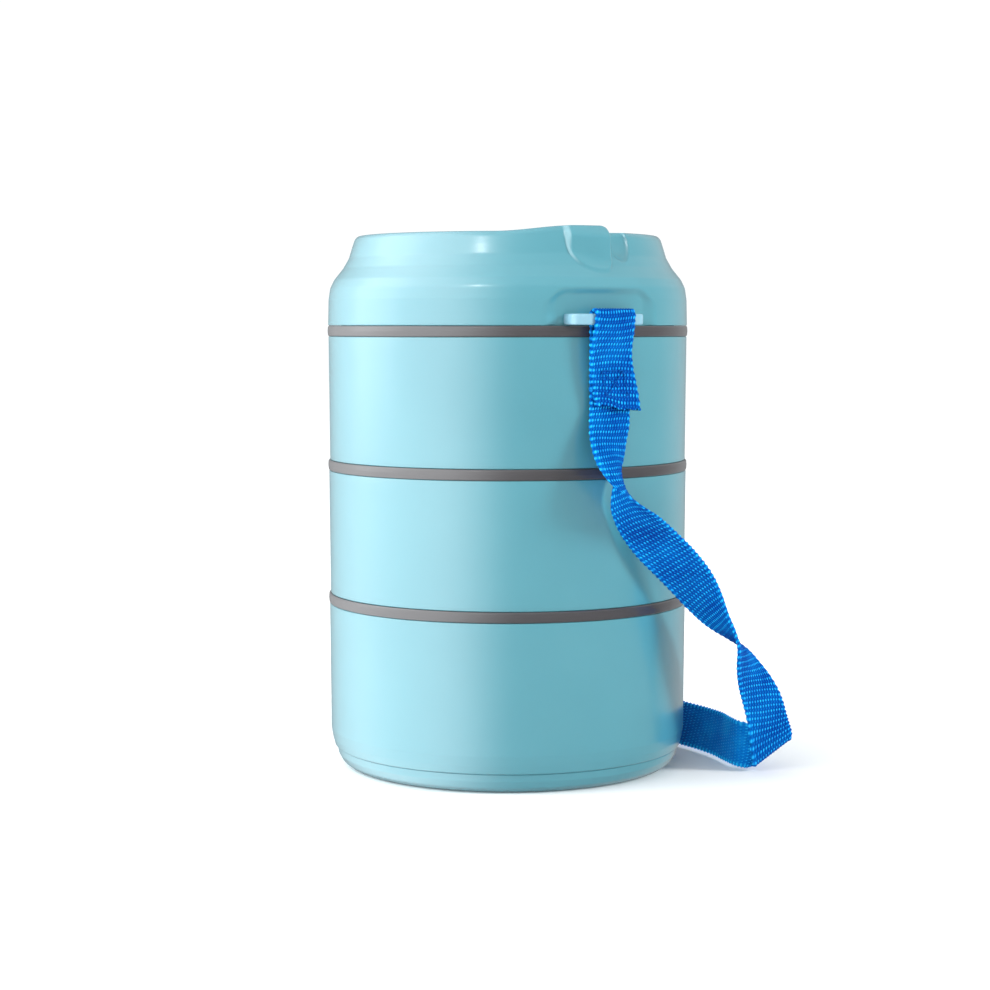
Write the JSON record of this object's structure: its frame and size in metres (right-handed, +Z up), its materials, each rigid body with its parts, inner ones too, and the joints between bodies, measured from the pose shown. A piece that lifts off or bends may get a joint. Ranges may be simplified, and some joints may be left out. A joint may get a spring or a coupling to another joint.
{
  "type": "tiffin carrier",
  "caption": "Round stacked food carrier: steel-lined plastic tiers that twist and lift apart, a lid with finger grips, and a webbing strap looped on side bars.",
  "frame": {"origin": "centre of the foot ring, on the surface the carrier stands on", "axes": "+Z up along the stack's axis, -Y towards the front, +X to the right seen from the front; the strap bars lie on the diameter 31 degrees round from the front"},
  "size_m": [0.1863, 0.1788, 0.2152],
  "materials": {
    "shell_plastic": "satin pale aqua polypropylene",
    "inner_plastic": "satin paler aqua polypropylene",
    "band_plastic": "satin warm grey",
    "steel": "spun and polished stainless steel",
    "silicone": "translucent white silicone",
    "webbing": "coarse woven polypropylene webbing"
  },
  "bodies": {
    "bottom_tier": {"bottom_shell": "shell_plastic", "foot_cap": "shell_plastic", "bottom_liner": "steel", "bottom_band": "band_plastic"},
    "bottom_seal": {"bottom_gasket": "silicone"},
    "middle_tier": {"middle_shell": "shell_plastic", "middle_floor": "inner_plastic", "middle_liner": "steel", "middle_band": "band_plastic"},
    "middle_seal": {"middle_gasket": "silicone"},
    "top_tier": {"top_shell": "shell_plastic", "top_floor": "inner_plastic", "top_liner": "steel", "top_band": "band_plastic"},
    "top_seal": {"top_gasket": "silicone"},
    "lid": {"lid_cap": "shell_plastic", "lid_floor": "inner_plastic", "strap_bar_front": "shell_plastic", "strap_bar_back": "shell_plastic"},
    "carry_strap": {"strap": "webbing", "strap_end_front": "webbing", "strap_end_back": "webbing", "stitching_front": "webbing", "stitching_back": "webbing"}
  },
  "joints": [
    {"name": "middle_turn", "type": "hinge", "parent": "bottom_tier", "child": "bottom_seal", "pos_m": [0, 0, 0.0773], "axis": [0, 0, 1], "range_deg": [0, 30]},
    {"name": "middle_lift", "type": "slide", "parent": "bottom_seal", "child": "middle_tier", "axis": [0, 0, 1], "range_m": [0, 0.06]},
    {"name": "top_turn", "type": "hinge", "parent": "middle_tier", "child": "middle_seal", "pos_m": [0, 0, 0.131], "axis": [0, 0, 1], "range_deg": [0, 30]},
    {"name": "top_lift", "type": "slide", "parent": "middle_seal", "child": "top_tier", "axis": [0, 0, 1], "range_m": [0, 0.06]},
    {"name": "lid_turn", "type": "hinge", "parent": "top_tier", "child": "top_seal", "pos_m": [0, 0, 0.1847], "axis": [0, 0, 1], "range_deg": [0, 30]},
    {"name": "lid_lift", "type": "slide", "parent": "top_seal", "child": "lid", "axis": [0, 0, 1], "range_m": [0, 0.06]},
    {"name": "strap_swing", "type": "hinge", "parent": "lid", "child": "carry_strap", "pos_m": [0, 0, 0.1796], "axis": [0.515, -0.8572, 0], "range_deg": [0, 180], "deforming": ["strap_end_front", "strap_end_back"]}
  ]
}
